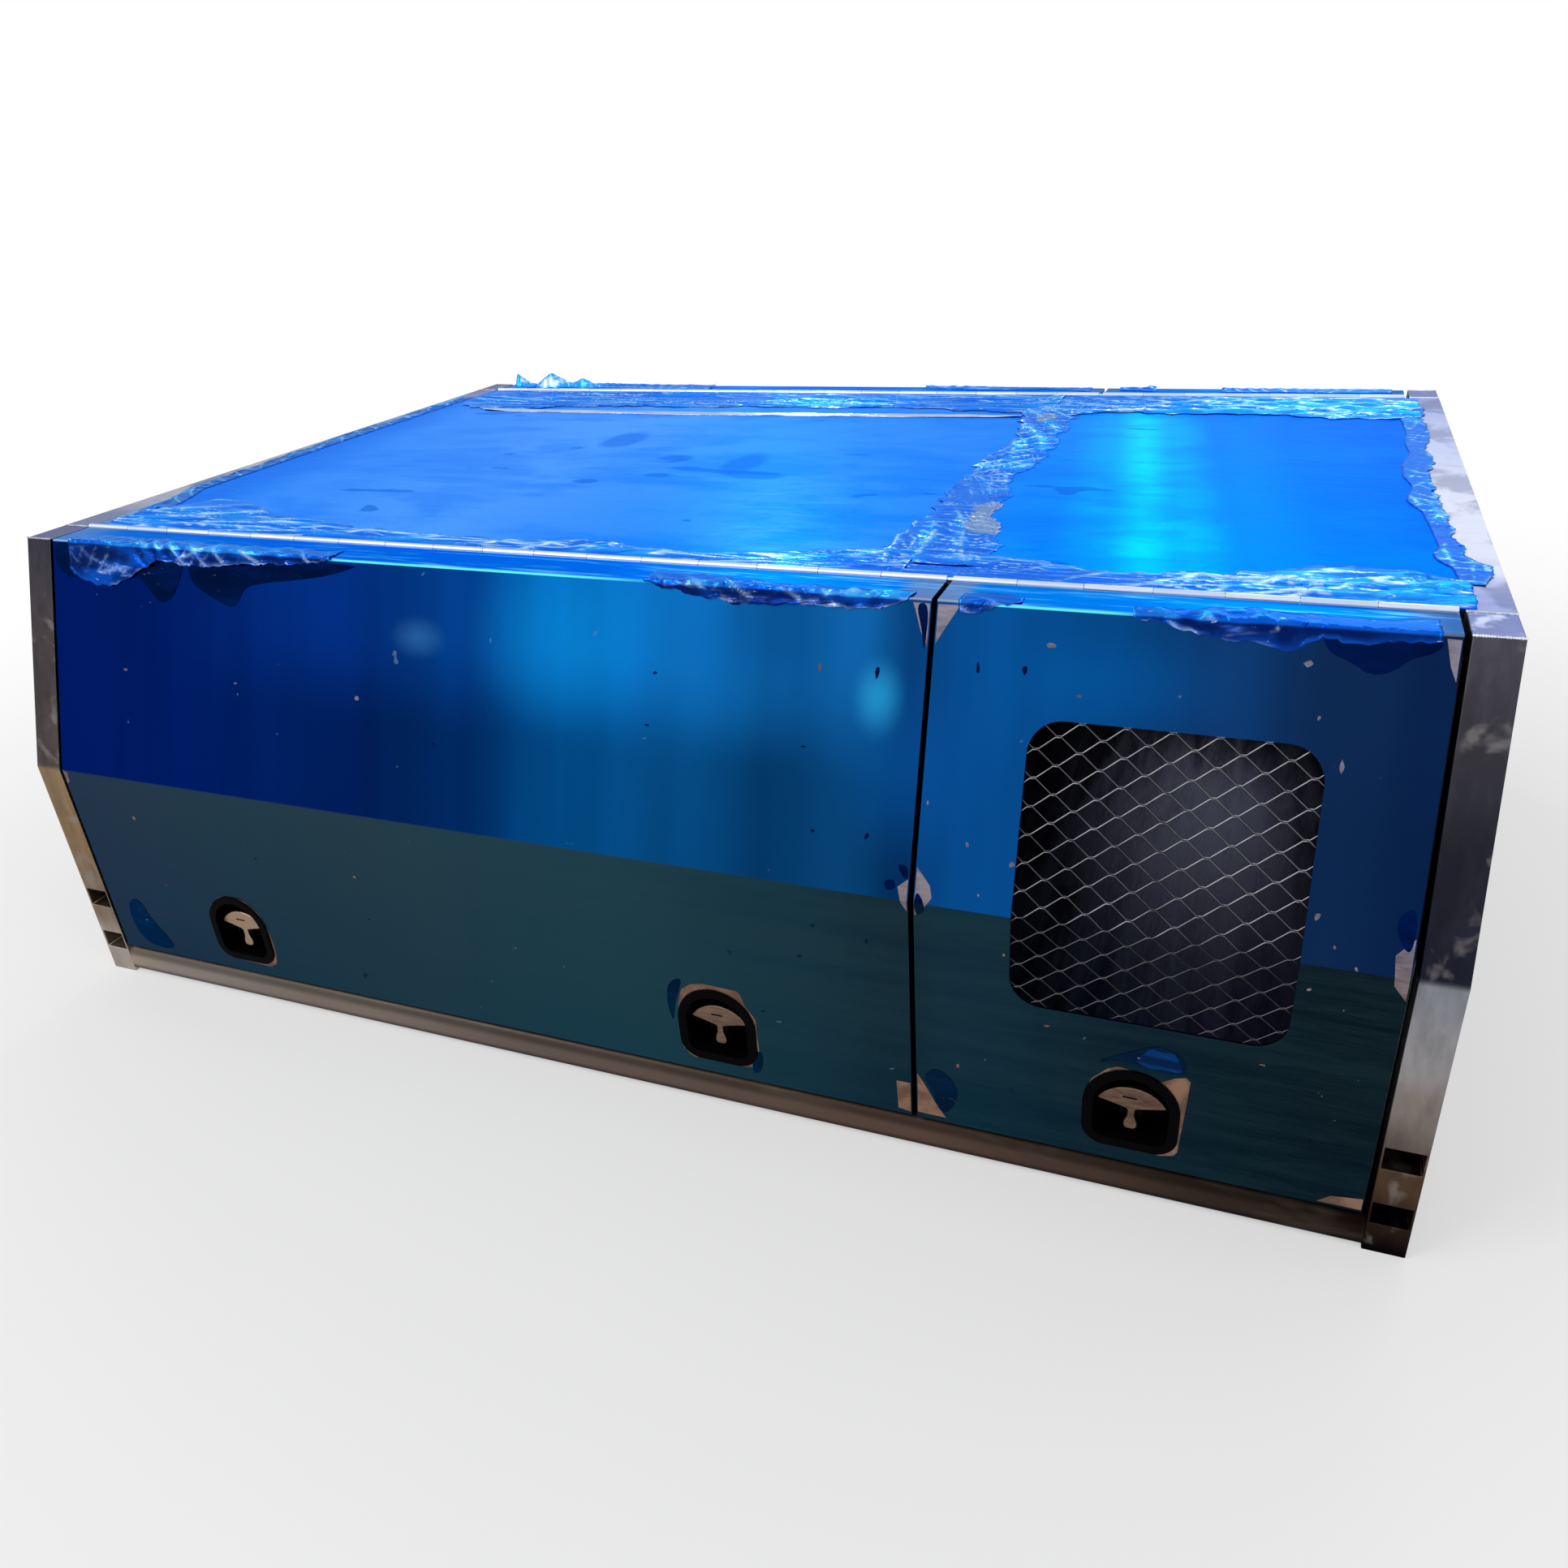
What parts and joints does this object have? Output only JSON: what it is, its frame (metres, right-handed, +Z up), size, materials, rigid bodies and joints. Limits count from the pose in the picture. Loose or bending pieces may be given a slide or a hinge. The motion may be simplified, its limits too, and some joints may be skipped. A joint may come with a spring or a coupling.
{
  "type": "pickup truck canopy",
  "caption": "Aluminium canopy box for a pickup tray with lift-up side doors, recessed fold-out locks, mesh side windows and corner posts.",
  "frame": {"origin": "centre of the base, on the ground plane under the sills", "axes": "+X along the canopy towards the small doors, +Y across to the far side, +Z up"},
  "size_m": [2.34, 1.768, 0.8475],
  "materials": {
    "bare_aluminium": "mill finish",
    "film_blue": "mill finish under blue protective film",
    "end_sheet": "mill finish",
    "floor_sheet": "mill finish",
    "black_rubber": "matte",
    "lock_black": "satin black",
    "lock_handle": "polished",
    "mesh_metal": "expanded metal",
    "hinge_metal": "extruded"
  },
  "bodies": {
    "canopy_body": {"floor_panel": "floor_sheet", "side_sill_near": "bare_aluminium", "side_sill_far": "bare_aluminium", "end_sill_right": "bare_aluminium", "end_sill_left": "bare_aluminium", "end_wall_right": "end_sheet", "end_wall_left": "end_sheet", "roof_end_rail_right": "bare_aluminium", "roof_end_rail_left": "bare_aluminium", "corner_post_near_right": "bare_aluminium", "corner_post_near_left": "bare_aluminium", "corner_post_far_right": "bare_aluminium", "corner_post_far_left": "bare_aluminium", "roof_panel": "film_blue", "hinge_rail_near": "bare_aluminium", "hinge_rail_far": "bare_aluminium", "roof_bow": "bare_aluminium", "door_mullion_near": "bare_aluminium", "door_mullion_far": "bare_aluminium", "hinge_fixed_near": "hinge_metal", "hinge_fixed_far": "hinge_metal", "door_seals_near": "black_rubber", "door_seals_far": "black_rubber"},
    "large_door_near": {"large_door_skin_near": "film_blue", "large_door_frame_near": "bare_aluminium", "lock_dish_near_large_left": "lock_black", "lock_dish_near_large_right": "lock_black"},
    "small_door_near": {"small_door_skin_near": "film_blue", "small_door_frame_near": "bare_aluminium", "window_mesh_near": "mesh_metal", "lock_dish_near_small": "lock_black"},
    "lock_handle_near_large_left": {"lock_handle_near_large_left": "lock_handle"},
    "lock_handle_near_large_right": {"lock_handle_near_large_right": "lock_handle"},
    "lock_handle_near_small": {"lock_handle_near_small": "lock_handle"},
    "large_door_far": {"large_door_skin_far": "film_blue", "large_door_frame_far": "bare_aluminium", "lock_dish_far_large_left": "lock_black", "lock_dish_far_large_right": "lock_black"},
    "small_door_far": {"small_door_skin_far": "film_blue", "small_door_frame_far": "bare_aluminium", "window_mesh_far": "mesh_metal", "lock_dish_far_small": "lock_black"},
    "lock_handle_far_large_left": {"lock_handle_far_large_left": "lock_handle"},
    "lock_handle_far_large_right": {"lock_handle_far_large_right": "lock_handle"},
    "lock_handle_far_small": {"lock_handle_far_small": "lock_handle"}
  },
  "joints": [
    {"name": "large_door_near_lift", "type": "hinge", "parent": "canopy_body", "child": "large_door_near", "pos_m": [-0.312, -0.671, 0.842], "axis": [-1, 0, 0], "range_deg": [0, 85]},
    {"name": "small_door_near_lift", "type": "hinge", "parent": "canopy_body", "child": "small_door_near", "pos_m": [0.799, -0.671, 0.842], "axis": [-1, 0, 0], "range_deg": [0, 85]},
    {"name": "lock_handle_near_large_left_fold", "type": "hinge", "parent": "large_door_near", "child": "lock_handle_near_large_left", "pos_m": [-0.792, -0.86569, 0.15223], "axis": [1, 0, 0], "range_deg": [0, 60]},
    {"name": "lock_handle_near_large_right_fold", "type": "hinge", "parent": "large_door_near", "child": "lock_handle_near_large_right", "pos_m": [0.168, -0.86569, 0.15223], "axis": [1, 0, 0], "range_deg": [0, 60]},
    {"name": "lock_handle_near_small_fold", "type": "hinge", "parent": "small_door_near", "child": "lock_handle_near_small", "pos_m": [0.799, -0.86569, 0.15223], "axis": [1, 0, 0], "range_deg": [0, 60]},
    {"name": "large_door_far_lift", "type": "hinge", "parent": "canopy_body", "child": "large_door_far", "pos_m": [-0.312, 0.671, 0.842], "axis": [1, 0, 0], "range_deg": [0, 85]},
    {"name": "small_door_far_lift", "type": "hinge", "parent": "canopy_body", "child": "small_door_far", "pos_m": [0.799, 0.671, 0.842], "axis": [1, 0, 0], "range_deg": [0, 85]},
    {"name": "lock_handle_far_large_left_fold", "type": "hinge", "parent": "large_door_far", "child": "lock_handle_far_large_left", "pos_m": [-0.792, 0.86569, 0.15223], "axis": [-1, 0, 0], "range_deg": [0, 60]},
    {"name": "lock_handle_far_large_right_fold", "type": "hinge", "parent": "large_door_far", "child": "lock_handle_far_large_right", "pos_m": [0.168, 0.86569, 0.15223], "axis": [-1, 0, 0], "range_deg": [0, 60]},
    {"name": "lock_handle_far_small_fold", "type": "hinge", "parent": "small_door_far", "child": "lock_handle_far_small", "pos_m": [0.799, 0.86569, 0.15223], "axis": [-1, 0, 0], "range_deg": [0, 60]}
  ]
}
